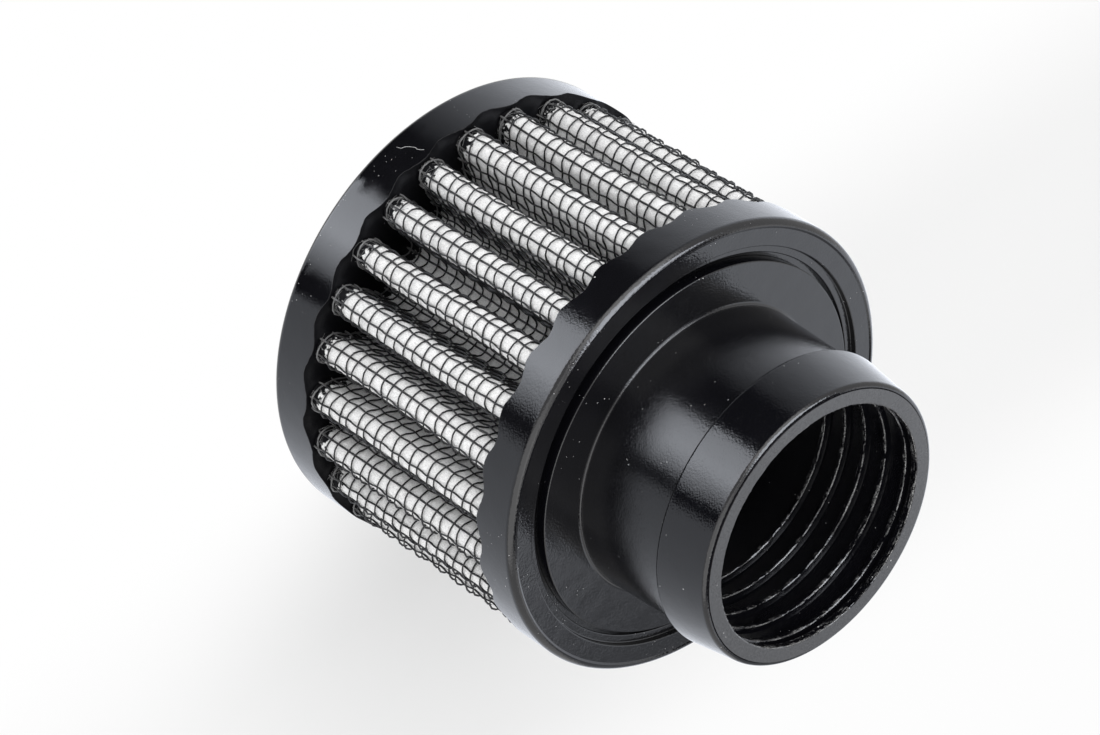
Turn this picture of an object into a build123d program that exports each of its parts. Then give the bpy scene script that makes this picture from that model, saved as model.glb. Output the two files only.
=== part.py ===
from build123d import *
from math import acos, atan2, cos, degrees, hypot, pi, radians, sin
import os

# Clamp-on breather filter, standing on its closed end cap with the neck up.
# Millimetres. The origin is the middle of the rear cap's flat outer face. +Z runs along the filter's axis.

# Pleated pack
pleat_count = 27
pack_length = 44.5
crest_radius = 35.5
pleat_depth = 9.8
crest_fold_radius = 2.1
pleat_air_gap = 0.72
crest_facets = 3
valley_facets = 2
outer_mesh_thickness = 0.35
media_thickness = 0.75
inner_mesh_thickness = 0.25

# Gaps in the outer mesh, one column on each crest
window_rows = 3
window_width = 1.6
window_bar = 1.3
window_end_margin = 1.2

# Moulded end caps
rim_wall = 0.5
rear_floor = 3.0
rear_potting_depth = 3.8
front_roof = 4.6
front_potting_depth = 1.7
scallop_depth = 1.0
scallop_radius = 5.0
cap_edge_round = 1.1
inner_seat_lip = 1.8
cut_margin = 1.0

# Front cap's ring, sunk a little inside its rounded lip, and the recess round the neck's disc
face_width = 4.2
ring_sink = 0.14
ledge_width = 1.3
ledge_depth = 1.0
groove_width = 0.9
groove_depth = 1.0
disc_clearance = 0.05

# Neck moulding
pipe_radius = 19.0
pipe_clearance = 0.1
rib_height = 0.9
neck_wall = 2.2
disc_thickness = 3.0
root_flare = 0.6
root_step = 0.3
neck_length = 24.9
collar_length = 9.0
collar_step = 1.2
collar_taper = 1.1
mouth_chamfer = 0.8
rib_count = 5
rib_pitch = 4.07
rib_crest_width = 0.6
rib_root_width = 1.2
mouth_lip_length = 1.0
first_rib_depth = 2.5

# What follows from them
half_pitch = pi / pleat_count
pack_thickness = outer_mesh_thickness + media_thickness + inner_mesh_thickness
valley_radius = crest_radius - pleat_depth
# A valley's round is as wide as the pitch leaves beside the pack's two walls and the air gap between them.
valley_fold_radius = (half_pitch * valley_radius - pack_thickness - pleat_air_gap / 2) / (1 - half_pitch)
crest_centre = crest_radius - crest_fold_radius
valley_centre = valley_radius + valley_fold_radius
cap_radius = crest_radius + rim_wall
rear_seat_z = rear_floor
rear_rim_z = rear_seat_z + rear_potting_depth + scallop_depth
front_seat_z = rear_seat_z + pack_length
front_rim_z = front_seat_z - front_potting_depth - scallop_depth
face_z = front_seat_z + front_roof
face_inner_radius = cap_radius - face_width
ring_z = face_z - ring_sink
ledge_z = face_z - ledge_depth
groove_outer_radius = face_inner_radius - ledge_width
groove_z = ledge_z - groove_depth
disc_radius = groove_outer_radius - groove_width
disc_seat_z = face_z - disc_thickness
cap_hole_radius = valley_radius - pack_thickness - inner_seat_lip
mouth_z = face_z + neck_length
collar_base_z = mouth_z - collar_length
rib_crest_radius = pipe_radius + pipe_clearance
bore_radius = rib_crest_radius + rib_height
waist_radius = bore_radius + neck_wall
root_radius = waist_radius + root_flare
collar_base_radius = waist_radius + collar_step
collar_tip_radius = collar_base_radius - collar_taper

# Direction of the flank's normal, the same for every layer of the sandwich
span_x = valley_centre * cos(half_pitch) - crest_centre
span_y = valley_centre * sin(half_pitch)
flank_angle = atan2(span_y, span_x) - acos((crest_fold_radius + valley_fold_radius) / hypot(span_x, span_y))


def fold_point(pleat, centre, turn, radius, angle):
    """A point on a fold's round, given in the fold's own direction and turned to its pleat."""
    along = centre + radius * cos(angle)
    across = radius * sin(angle)
    heading = 2 * half_pitch * pleat + turn
    return (along * cos(heading) - across * sin(heading), along * sin(heading) + across * cos(heading))


def pleat_face(inset):
    """The area inside the pleated line that lies the given thickness under the pack's outer surface."""
    crest_round = crest_fold_radius - inset
    valley_round = valley_fold_radius + inset
    valley_half = flank_angle - half_pitch
    points = []
    for pleat in range(pleat_count):
        for step in range(crest_facets + 1):
            angle = flank_angle * (2 * step / crest_facets - 1)
            points.append(fold_point(pleat, crest_centre, 0, crest_round, angle))
        for step in range(valley_facets + 1):
            angle = pi + valley_half * (1 - 2 * step / valley_facets)
            points.append(fold_point(pleat, valley_centre, half_pitch, valley_round, angle))
    return make_face(Polyline(*points, close=True))


def pleated_layer(inset, thickness):
    """One layer of the pleated sandwich, from the rear cap's seat to the front cap's."""
    ring = pleat_face(inset) - pleat_face(inset + thickness)
    return Pos(0, 0, rear_seat_z) * extrude(ring, amount=pack_length)


def ring_of(radius_z_points):
    """A body turned from a section of straight lines, given as (radius, z) points."""
    outline = [(radius, 0, z) for radius, z in radius_z_points]
    return revolve(make_face(Polyline(*outline, close=True)), axis=Axis.Z)


def round_points(corner_radius, corner_z, size, upward):
    """Three points that ease a cap's outer corner, listed from the skirt to the flat face."""
    points = []
    for angle in (0, 45, 90):
        radius = corner_radius - size * (1 - cos(radians(angle)))
        z = corner_z - upward * size * (1 - sin(radians(angle)))
        points.append((radius, z))
    return points


def scallops(rim_z, into_cap):
    """Rounded scoops in a cap's rim, one over each valley of the pleats."""
    length = cap_radius - valley_radius + cut_margin
    scoop = Rot(0, 90, 0) * Cylinder(scallop_radius, length, align=(Align.CENTER, Align.CENTER, Align.MIN))
    centre_z = rim_z + into_cap * (scallop_depth - scallop_radius)
    placed = []
    for pleat in range(pleat_count):
        heading = degrees(half_pitch * (2 * pleat + 1))
        placed.append(Rot(0, 0, heading) * Pos(valley_radius, 0, centre_z) * scoop)
    return placed


def rear_end_cap():
    """Closed cap: a thick disc whose scooped material fills the gaps between the pleats."""
    corner = round_points(cap_radius, 0, cap_edge_round, -1)
    body = ring_of([(0, 0)] + corner[::-1] + [(cap_radius, rear_rim_z), (0, rear_rim_z)])
    pocket = Pos(0, 0, rear_seat_z) * extrude(pleat_face(0), amount=rear_rim_z)
    return body - pocket - scallops(rear_rim_z, -1)


def front_end_cap():
    """Open cap: a ring with the pleats' pocket below and the stepped recess for the disc above."""
    corner = round_points(cap_radius, face_z, cap_edge_round, 1)
    seat_radius = disc_radius + disc_clearance
    section = [(cap_hole_radius, front_rim_z), (cap_radius, front_rim_z)] + corner
    section += [(cap_radius - cap_edge_round, ring_z), (face_inner_radius, ring_z)]
    section += [(face_inner_radius, ledge_z)]
    section += [(groove_outer_radius, ledge_z), (groove_outer_radius, groove_z)]
    section += [(seat_radius, groove_z), (seat_radius, disc_seat_z), (cap_hole_radius, disc_seat_z)]
    body = ring_of(section)
    pocket_depth = front_seat_z - front_rim_z + cut_margin
    pocket = Pos(0, 0, front_seat_z - pocket_depth) * extrude(pleat_face(0), amount=pocket_depth)
    return body - pocket - scallops(front_rim_z, 1)


def rib_section():
    """The bore's line from the mouth down: a lip, then the grip ribs with straight wall between them."""
    points = [(rib_crest_radius, mouth_z), (rib_crest_radius, mouth_z - mouth_lip_length)]
    flank = (rib_root_width - rib_crest_width) / 2
    points.append((bore_radius, mouth_z - mouth_lip_length - flank))
    for rib in range(rib_count):
        rib_z = mouth_z - first_rib_depth - rib * rib_pitch
        points.append((bore_radius, rib_z + rib_root_width / 2))
        points.append((rib_crest_radius, rib_z + rib_crest_width / 2))
        points.append((rib_crest_radius, rib_z - rib_crest_width / 2))
        points.append((bore_radius, rib_z - rib_root_width / 2))
    points.append((bore_radius, disc_seat_z))
    return points


def neck_flange():
    """Neck moulding turned in one piece: disc, neck, stepped and tapered collar, and ribbed bore."""
    root_z = face_z + root_step
    section = [(disc_radius, disc_seat_z), (disc_radius, face_z)]
    section += [(root_radius, face_z), (root_radius, root_z), (waist_radius, collar_base_z)]
    section += [(collar_base_radius, collar_base_z), (collar_tip_radius, mouth_z - mouth_chamfer)]
    section += [(collar_tip_radius - mouth_chamfer, mouth_z)]
    return ring_of(section + rib_section())


def outer_wire_mesh():
    """The mesh as a thin pleated wall with a column of gaps along every crest."""
    first_z = rear_rim_z + window_end_margin
    pitch = (front_rim_z - window_end_margin - first_z + window_bar) / window_rows
    from_below = (Align.CENTER, Align.CENTER, Align.MIN)
    gap = Box(4 * outer_mesh_thickness, window_width, pitch - window_bar, align=from_below)
    gaps = []
    for pleat in range(pleat_count):
        heading = degrees(2 * half_pitch * pleat)
        for row in range(window_rows):
            gap_z = first_z + row * pitch
            gaps.append(Rot(0, 0, heading) * Pos(crest_radius - outer_mesh_thickness, 0, gap_z) * gap)
    return pleated_layer(0, outer_mesh_thickness) - gaps


inner_mesh_inset = outer_mesh_thickness + media_thickness

os.makedirs("parts", exist_ok=True)
export_step(rear_end_cap(), "parts/rear_end_cap.step")
export_step(front_end_cap(), "parts/front_end_cap.step")
export_step(neck_flange(), "parts/neck_flange.step")
export_step(outer_wire_mesh(), "parts/outer_wire_mesh.step")
export_step(pleated_layer(outer_mesh_thickness, media_thickness), "parts/filter_media.step")
export_step(pleated_layer(inner_mesh_inset, inner_mesh_thickness), "parts/inner_wire_mesh.step")
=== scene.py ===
from math import acos, atan2, cos, hypot, pi, radians, sin

import bmesh
import bpy
import numpy as np
from mathutils import Matrix, Vector
from mathutils.kdtree import KDTree


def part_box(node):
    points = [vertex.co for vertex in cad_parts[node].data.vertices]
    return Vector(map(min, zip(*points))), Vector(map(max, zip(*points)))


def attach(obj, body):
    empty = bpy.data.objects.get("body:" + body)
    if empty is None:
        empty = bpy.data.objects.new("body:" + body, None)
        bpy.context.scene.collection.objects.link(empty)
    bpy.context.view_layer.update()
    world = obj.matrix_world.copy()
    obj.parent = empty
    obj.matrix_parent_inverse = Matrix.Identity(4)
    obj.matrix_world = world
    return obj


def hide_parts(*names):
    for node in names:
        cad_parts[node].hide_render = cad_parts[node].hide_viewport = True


# Looks of a clamp-on breather filter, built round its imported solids.
# Metres, in the solids' own frame: the filter stands on its closed cap with the neck up.

bl_info = {
    "name": "Breather Filter",
    "version": (1, 0, 0),
    "blender": (4, 5, 0),
    "location": "3D View > Sidebar > Breather Filter",
    "description": "Builds a pleated breather filter with woven wire, moulded caps and a ribbed neck",
    "category": "Add Mesh",
}

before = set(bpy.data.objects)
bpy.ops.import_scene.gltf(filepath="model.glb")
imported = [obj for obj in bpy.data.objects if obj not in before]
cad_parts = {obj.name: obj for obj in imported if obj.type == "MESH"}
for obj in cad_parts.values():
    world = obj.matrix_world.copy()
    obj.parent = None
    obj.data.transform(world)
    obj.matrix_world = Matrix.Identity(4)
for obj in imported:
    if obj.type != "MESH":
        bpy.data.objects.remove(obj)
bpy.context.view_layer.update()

MM = 0.001
REAR_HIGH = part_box("rear_end_cap")[1]
FRONT_LOW, FRONT_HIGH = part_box("front_end_cap")
NECK_LOW, NECK_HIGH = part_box("neck_flange")
PACK_LOW, PACK_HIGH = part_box("filter_media")

# How the pleats crowd round the pack, as waves: how many in a turn, their size and their peak, in degrees
CROWDING = ((1, 0.59, 31.3), (3, 0.945, -12.6))
# How many points a cap has round its axis for each pleat, and the inner mesh along each pleat
CAP_POINTS, INNER_MESH_POINTS = 22, 14


# Sizes and colours that a user would change


def number(name, default, description, **kind):
    """A plain number, or one of a given kind."""
    return bpy.props.FloatProperty(name=name, description=description, default=default, **kind)


def length(name, millimetres, description):
    """A length, shown in the sidebar in the scene's own unit."""
    return number(name, millimetres * MM, description, subtype="DISTANCE", unit="LENGTH", precision=5)


def amount(name, default, description):
    """A number that can't be negative."""
    return number(name, default, description, min=0, subtype="FACTOR")


def count(name, default, description):
    """A whole number of at least 1."""
    return bpy.props.IntProperty(name=name, description=description, default=default, min=1)


def colour(name, default, description):
    """A colour as red, green and blue."""
    kind = {"size": 3, "min": 0, "max": 1, "subtype": "COLOR"}
    return bpy.props.FloatVectorProperty(name=name, description=description, default=default, **kind)


class BREATHER_PG_pack(bpy.types.PropertyGroup):
    """Sizes of the pleated pack."""

    pleat_count: count("Pleats", 27, "Number of pleats round the pack")
    rim_wall: length("Rim wall", 0.5, "From the crests to the outside of the caps")
    pleat_depth: length("Pleat depth", 9.8, "From the crests to the bottoms of the valleys")
    crest_fold: length("Crest fold radius", 2.4, "Radius of a crest's round")
    valley_fold: length("Valley fold radius", 1.45, "Radius of a valley's round")
    mesh_room: length("Room for the mesh", 0.35, "From the crests' outer face to the fleece")
    fleece: length("Fleece thickness", 0.75, "Thickness of the fleece")
    pillow: length("Pillow height", 0.13, "How far the fleece swells out between the wires")
    lean: length("Lean", 0.30, "How far a pleat leans sideways at the most")
    sag: length("Sag", 0.22, "How far a crest sinks between the caps at the most")
    frays: count("Frayed strands", 18, "Number of frayed strands on a pleat")
    fray_radius: length("Strand radius", 0.026, "Radius of a frayed strand")


class BREATHER_PG_weave(bpy.types.PropertyGroup):
    """Sizes of the woven wire."""

    wire: length("Wire", 0.31, "Diameter of a wire")
    hoop_pitch: length("Hoop pitch", 1.93, "From one wire round the pack to the next")
    hoop_swing: length("Hoop swing", 0.08, "How far every other hoop wire is pushed along the axis")
    axial_pitch: length("Axial pitch", 2.27, "From one lengthways wire to the next, along the folds")
    wander: length("Wander", 0.16, "How far the wires wander together in the cloth")
    stray: length("Stray", 0.07, "How far a single wire lies from its place at the most")
    loop_lift: length("Loop lift", 0.34, "How far the hoop wires stand clear over the crests at the most")
    hoop_count: count("Hoop wires", 22, "Number of wires round the pack")
    samples: count("Samples", 3, "Points of a wire between two crossings")


class BREATHER_PG_caps(bpy.types.PropertyGroup):
    """Sizes of the moulded end caps."""

    edge_round: length("Edge round", 1.1, "Radius of the caps' outer edges")
    lip_round: length("Lip round", 0.10, "Radius of the rims' lips")
    outer_lip: length("Outer lip", 1.05, "Width of the rounded lip round the front cap's ring")
    ring_sink: length("Ring sink", 0.14, "How far the front cap's ring lies under that lip")
    scallop: length("Scallop", 1.0, "From the rims' peaks to their dips")
    fill_drop: length("Fill drop", 0.6, "From the rims' peaks to the fill between the pleats")
    fill_reach: length("Fill reach", 24.2, "Radius that the fill reaches inwards to")
    creep: length("Creep", 0.6, "How far the fill creeps up the pleats")
    face_width: length("Face width", 4.2, "Width of the front cap's flat ring")
    ledge_width: length("Ledge width", 1.3, "Width of the step inside the ring")
    ledge_depth: length("Ledge depth", 1.0, "Depth of the step inside the ring")
    groove_depth: length("Groove depth", 1.0, "Depth of the groove round the neck's disc, under the step")
    disc_gap: length("Disc gap", 0.05, "Gap round the neck's disc")
    floor: length("Rear floor", 3.0, "Thickness of the closed cap under the pack")
    hole_radius: length("Hole radius", 22.55, "Radius of the front cap's hole")


class BREATHER_PG_neck(bpy.types.PropertyGroup):
    """Sizes of the neck moulding."""

    rib_crest: length("Rib crest radius", 19.1, "Radius of the pipe seat at the ribs")
    rib_height: length("Rib height", 0.9, "Height of the grip ribs")
    rib_pitch: length("Rib pitch", 4.07, "From one rib to the next")
    rib_width: length("Rib width", 0.6, "Width of a rib's crest")
    first_rib: length("First rib", 2.5, "From the mouth to the first rib's middle")
    rib_count: count("Ribs", 5, "Number of grip ribs in the bore")
    wall: length("Wall", 2.2, "Wall of the neck under its collar")
    root_flare: length("Root flare", 0.6, "How far the root stands out from the neck's top")
    collar_step: length("Collar step", 1.2, "How far the collar stands out from the neck")
    collar_length: length("Collar length", 9.0, "Length of the collar")
    collar_round: length("Collar round", 0.6, "Radius of the collar's edge towards the cap")
    collar_taper: length("Collar taper", 1.1, "How much the collar's radius narrows to the mouth")
    root_bead: length("Root bead", 0.22, "Radius of the bead round the neck's root")
    mouth_round: length("Mouth round", 0.8, "Radius of the mouth's outer edge")
    flash: length("Flash", 0.08, "How ragged the ribs' crests and the mouth's inner edge are")


class BREATHER_PG_finish(bpy.types.PropertyGroup):
    """Colours and gloss."""

    moulding: colour("Cap black", (0.0032, 0.0032, 0.0042), "Colour of the moulded caps")
    neck: colour("Neck black", (0.0024, 0.0024, 0.0034), "Colour of the neck moulding")
    # Painted highlight: this grey along the ribs' crest edges stands for the light line that they catch,
    # broken up like their mould flash
    flash: colour("Flash grey", (0.26, 0.26, 0.26), "Colour of the ribs' ragged edges")
    cut_face: colour("Trimmed grey", (0.050, 0.050, 0.052), "Colour of the mouth's trimmed face")
    fleece: colour("Fleece white", (0.93, 0.93, 0.93), "Colour of the fleece")
    fibre_shade: colour("Fibre grey", (0.62, 0.62, 0.62), "Colour between the fleece's fibres")
    strand: colour("Strand grey", (0.36, 0.36, 0.36), "Colour of the frayed strands")
    coating: colour("Wire black", (0.012, 0.012, 0.013), "Colour of the wire's coating")
    # This grey is the worn wire's own colour and also the colour of the painted glints
    bare_wire_and_glint: colour("Bare wire", (0.33, 0.33, 0.33), "Colour of the wire where its coating is gone")
    dust: colour("Dust", (0.55, 0.55, 0.55), "Colour of the dust on the mouldings")
    cap_gloss: amount("Cap roughness", 0.10, "Roughness of the caps")
    fill_gloss: amount("Fill roughness", 0.45, "Roughness of the fill between the pleats")
    neck_gloss: amount("Neck roughness", 0.08, "Roughness of the neck")
    rear_dust: amount("Rear dust", 0.7, "Share of the dust specks on the rear cap")
    front_dust: amount("Front dust", 0.35, "Share of the dust specks on the front cap")
    neck_dust: amount("Neck dust", 0.08, "Share of the dust specks on the neck")


class BREATHER_PG_stage(bpy.types.PropertyGroup):
    """The camera's place, the floor and the light."""

    azimuth: number("Camera azimuth", 262.66, "Side the camera stands on, in degrees")
    pitch: number("Camera pitch", 37.47, "How far the camera looks down, in degrees")
    roll: number("Camera roll", 122.67, "Turn of the camera about its view, in degrees")
    distance: length("Camera distance", 710.95, "From the aim to the camera")
    aim_along: length("Aim beyond the axis", 10.08, "Where the view's middle meets, beyond the axis")
    aim_aside: length("Aim aside", 1.66, "Where the view's middle meets, to the side of the axis")
    aim_up: length("Aim height", 13.9, "Height of the point that the camera looks at")
    lens: number("Lens", 155.32, "Focal length on a 36 mm sensor")
    sky: amount("Sky", 0.64, "Strength of the even light; in gloss and to the camera it is white")
    floor: colour("Floor", (0.70, 0.70, 0.70), "Colour of the floor")
    # Painted shadow: on this side the floor's glow to the camera is weaker, standing for a cast shadow that
    # the lamps don't make
    painted_shadow_turn: number("Shaded side", 145, "Where the floor is less lit, in degrees from the camera's side")
    painted_shadow_glow: amount("Shaded glow", 0.15, "How white the floor's less lit side looks to the camera")


# Shader maths


class Field:
    """A number over a surface. Sums on it add Math nodes."""

    def __init__(self, bench, socket):
        self.bench = bench
        self.socket = socket

    def _sum(self, operation, *values):
        return self.bench.node("ShaderNodeMath", {"operation": operation}, *values)

    def __add__(self, other):
        return self._sum("ADD", self, other)

    def __sub__(self, other):
        return self._sum("SUBTRACT", self, other)

    def __rsub__(self, other):
        return self._sum("SUBTRACT", other, self)

    def __mul__(self, other):
        return self._sum("MULTIPLY", self, other)

    def __gt__(self, other):
        return self._sum("GREATER_THAN", self, other)

    def __lt__(self, other):
        return self._sum("LESS_THAN", self, other)

    __radd__ = __add__
    __rmul__ = __mul__

    def highest(self, other):
        """The larger of the two."""
        return self._sum("MAXIMUM", self, other)

    def rise(self, low, high):
        """0 below low and 1 above high, with a smooth step between."""
        smooth = {"interpolation_type": "SMOOTHSTEP"}
        return self.bench.node("ShaderNodeMapRange", smooth, self, From_Min=low, From_Max=high)


class FinishBench:
    """Builds the nodes of one material, or of one world."""

    def __init__(self, name, kept_in=None):
        self.made = (bpy.data.materials if kept_in is None else kept_in).new(name)
        self.made.use_nodes = True
        self.tree = self.made.node_tree
        self.tree.nodes.clear()

    def node(self, kind, settings=None, *values, output=0, at=None, **named):
        """Adds a node: its settings first, then its sockets' values or links. Returns one of its outputs."""
        made = self.tree.nodes.new(kind)
        for setting, value in (settings or {}).items():
            setattr(made, setting, value)
        sockets = dict(enumerate(values)) | (at or {})
        sockets |= {name.replace("_", " "): value for name, value in named.items()}
        for key, value in sockets.items():
            if isinstance(value, Field):
                self.tree.links.new(value.socket, made.inputs[key])
            else:
                made.inputs[key].default_value = value
        return Field(self, made.outputs[output]) if len(made.outputs) else None

    def vector(self, operation, *values, output=0):
        """A sum of vectors."""
        return self.node("ShaderNodeVectorMath", {"operation": operation}, *values, output=output)

    def place(self):
        """The point on the piece, in metres."""
        return self.node("ShaderNodeTexCoord", output="Object")

    def axis_parts(self):
        """The distance from the filter's axis, and the height along it."""
        spot = self.place()
        radius = self.vector("LENGTH", self.vector("MULTIPLY", spot, (1, 1, 0)), output="Value")
        return radius, self.node("ShaderNodeSeparateXYZ", None, spot, output="Z")

    def noise(self, size, detail=2.0, stretch=(1, 1, 1), seed=0.0):
        """Noise whose grains are about the given size."""
        spot = self.vector("MULTIPLY_ADD", self.place(), stretch, (seed, seed, 0))
        return self.node("ShaderNodeTexNoise", None, spot, Scale=1 / size, Detail=detail)

    def specks(self, spacing, size, share, seed):
        """Round specks of the given size, on a share of the points of a loose grid."""
        spot = self.vector("ADD", self.place(), (seed, seed, seed))
        grid = {"Scale": 1 / spacing, "Randomness": 1.0}
        near = self.node("ShaderNodeTexVoronoi", None, spot, output="Distance", **grid)
        draw = self.node("ShaderNodeTexVoronoi", None, spot, output="Color", **grid)
        lot = self.node("ShaderNodeSeparateColor", None, draw, output="Red")
        return (near < lot * (size / spacing)) * (lot > 1 - share)

    def mix(self, mask, first, second):
        """The first colour where the mask is 0 and the second where it is 1."""
        first, second = (value if isinstance(value, Field) else (*value, 1) for value in (first, second))
        return self.node("ShaderNodeMix", {"data_type": "RGBA"}, at={0: mask, 6: first, 7: second}, output=2)

    def shown(self):
        """1 to the camera, in gloss and through glass, and 0 to the light that falls on the filter."""
        rays = ("Camera", "Glossy", "Transmission")
        camera, gloss, glass = (self.node("ShaderNodeLightPath", output=f"Is {ray} Ray") for ray in rays)
        return camera.highest(gloss).highest(glass)

    def bump(self, height, depth, over=None):
        """A normal pushed by a height of 0 to 1 that stands for the given depth."""
        under = {} if over is None else {"Normal": over}
        return self.node("ShaderNodeBump", None, Height=height, Distance=depth, Strength=1.0, **under)

    def finish(self, **sockets):
        """Closes the material with a surface shader and returns it."""
        surface = self.node("ShaderNodeBsdfPrincipled", None, **sockets)
        self.node("ShaderNodeOutputMaterial", None, surface)
        return self.made


def scaled(tone, factor):
    """A colour made lighter or darker."""
    return [value * factor for value in tone]


def moulding_finish(name, looks, black, roughness, dusty, neck=None):
    """Black moulding with orange peel and dust. The neck's also has its ragged ribs, with a painted
    highlight along their crest edges, and its trimmed mouth.
    """
    bench = FinishBench(name)
    peel = bench.noise(0.32 * MM, 1.5, stretch=(1, 1, 1.8))
    swell = bench.noise(3.5 * MM, 1.0, seed=0.3)
    grit = bench.noise(0.14 * MM, 2.0, seed=0.7)
    small = bench.specks(0.55 * MM, 0.065 * MM, dusty, 0.11)
    large = bench.specks(1.60 * MM, 0.115 * MM, dusty, 0.57)
    dusted = (small + large) * bench.noise(9 * MM, 2.0, seed=0.5).rise(0.50, 0.58)
    rough = roughness + (swell - 0.5) * 0.06 + (grit - 0.5) * 0.06
    tone = bench.mix(swell, black, scaled(black, 1.5))
    if neck:
        tone, rough = neck_marks(bench, looks, neck, grit, tone, rough)
    normal = bench.bump(swell, 0.04 * MM)
    normal = bench.bump(peel, 0.026 * MM, normal)
    normal = bench.bump(grit, 0.002 * MM, normal)
    tone = bench.mix(dusted, tone, looks.dust)
    return bench.finish(Base_Color=tone, Roughness=rough + dusted * 0.5, Normal=normal)


def neck_marks(bench, looks, neck, grit, tone, rough):
    """The neck's colour and roughness with a painted grey highlight along the ribs' crest edges, broken up
    like their ragged mould flash, a paler trimmed mouth and a duller wall.
    """
    radius, height = bench.axis_parts()
    crest, mouth = neck.rib_crest, NECK_HIGH.z
    parting = mouth - neck.collar_length
    # Painted highlight along the ribs' crest edges, torn into broken bits
    torn = grit.rise(0.44, 0.54) * bench.noise(2.6 * MM, 3.0, seed=0.8).rise(0.40, 0.60)
    edge = radius.rise(crest, crest + 0.04 * MM) - radius.rise(crest + 0.10 * MM, crest + 0.18 * MM)
    tone = bench.mix(edge * torn, tone, looks.flash)
    face = height.rise(mouth - 0.06 * MM, mouth - 0.01 * MM)
    sanding = bench.noise(0.35 * MM, 4.0, seed=0.6).rise(0.35, 0.65)
    tone = bench.mix(face, tone, bench.mix(sanding, scaled(looks.cut_face, 0.6), looks.cut_face))
    wall = height.rise(FRONT_HIGH.z, FRONT_HIGH.z + 0.8 * MM) - height.rise(parting - 0.5 * MM, parting)
    return tone, rough + face * 0.2 + wall * 0.08


def fill_painted_shade_finish(name, looks):
    """Black fill between the pleats, darker and duller than the caps' moulding that it is made of, which
    hardly mirrors anything: painted shade for the shadow deep between the pleats.
    """
    bench = FinishBench(name)
    grain = bench.noise(0.3 * MM, 3.0)
    # Painted shade: darker than the caps' black, and with little gloss, where the pleats shade the fill
    tone = bench.mix(grain, scaled(looks.moulding, 0.3), looks.moulding)
    rough = looks.fill_gloss + grain * 0.2
    normal = bench.bump(grain, 0.03 * MM)
    return bench.finish(Base_Color=tone, Roughness=rough, Specular_IOR_Level=0.10, Normal=normal)


def fleece_finish(name, looks):
    """White fibrous fleece, soaked black where it enters the caps."""
    bench = FinishBench(name)
    fibres = bench.noise(0.13 * MM, 4.0, stretch=(1, 1, 0.4))
    clumps = bench.noise(1.6 * MM, 3.0, seed=0.4)
    patches = bench.noise(0.8 * MM, 4.0, seed=0.9) - 0.5
    height = bench.axis_parts()[1]
    cloth = bench.mix(fibres.rise(0.30, 0.62) * 0.7 + clumps * 0.3, looks.fibre_shade, looks.fleece)
    rear = 1 - (height + patches * (5.0 * MM)).rise(REAR_HIGH.z + 1.5 * MM, REAR_HIGH.z + 2.0 * MM)
    front = (height + patches * (1.6 * MM)).rise(FRONT_LOW.z - 0.5 * MM, FRONT_LOW.z + 0.2 * MM)
    tone = bench.mix(rear.highest(front), cloth, looks.moulding)
    normal = bench.bump(fibres, 0.07 * MM, bench.bump(clumps, 0.10 * MM))
    return bench.finish(Base_Color=tone, Roughness=0.9, Specular_IOR_Level=0.15, Normal=normal)


def wire_finish(name, black, worn_and_glint_grey):
    """Black coated wire whose coating is worn off to a dull grey where it enters the rear cap, with painted
    glints of that grey in random specks.
    """
    bench = FinishBench(name)
    chips = bench.noise(0.7 * MM, 3.0) - 0.5
    height = bench.axis_parts()[1]
    worn = 1 - (height + chips * (5.0 * MM)).rise(REAR_HIGH.z + 0.2 * MM, REAR_HIGH.z + 2.6 * MM)
    # Painted glints: random specks made lighter and glossier, standing for sparkles of light
    painted_glint = bench.noise(0.35 * MM, 1.0, seed=0.2).rise(0.62, 0.74) * 0.12
    tone = bench.mix((worn * 0.4).highest(painted_glint), black, worn_and_glint_grey)
    return bench.finish(Base_Color=tone, Roughness=0.42 - painted_glint, Specular_IOR_Level=0.35)


def strand_finish(name, grain, dark, light, roughness):
    """A fine strand whose tone varies along it."""
    bench = FinishBench(name)
    return bench.finish(Base_Color=bench.mix(bench.noise(grain), dark, light), Roughness=roughness)


# Mesh helpers


def piece(name, points, faces, finish, slot, node=None, sharp=None, weld=False, within=None):
    """Makes a piece from points and four-sided faces, in the place of a node where one is named.

    Within the caps' skirts, faces between two heights can have another finish, given with those heights."""
    points = np.asarray(points).reshape(-1, 3)
    faces = np.asarray(faces).reshape(-1, 4)
    a, b, c, d = (points[faces[:, corner]] for corner in range(4))
    volume = np.einsum("ij,ij->", a, np.cross(b, c)) + np.einsum("ij,ij->", a, np.cross(c, d))
    if volume < 0:
        faces = faces[:, ::-1]
    mesh = bpy.data.meshes.new(name)
    mesh.from_pydata(points.tolist(), [], faces.tolist())
    if weld:
        shape = bmesh.new()
        shape.from_mesh(mesh)
        bmesh.ops.remove_doubles(shape, verts=shape.verts, dist=0.001 * MM)
        shape.to_mesh(mesh)
        shape.free()
    mesh.validate()
    mesh.shade_smooth()
    if sharp is not None:
        mesh.set_sharp_from_angle(angle=radians(sharp))
    mesh.materials.append(finish)
    if within:
        inside, low, high = within
        mesh.materials.append(inside)
        for face in mesh.polygons:
            if hypot(face.center.x, face.center.y) < REAR_HIGH.x - 0.02 * MM and low < face.center.z < high:
                face.material_index = 1
    made = bpy.data.objects.new(name, mesh)
    bpy.context.scene.collection.objects.link(made)
    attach(made, "root")
    if node:
        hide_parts(node)
    return made


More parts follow.
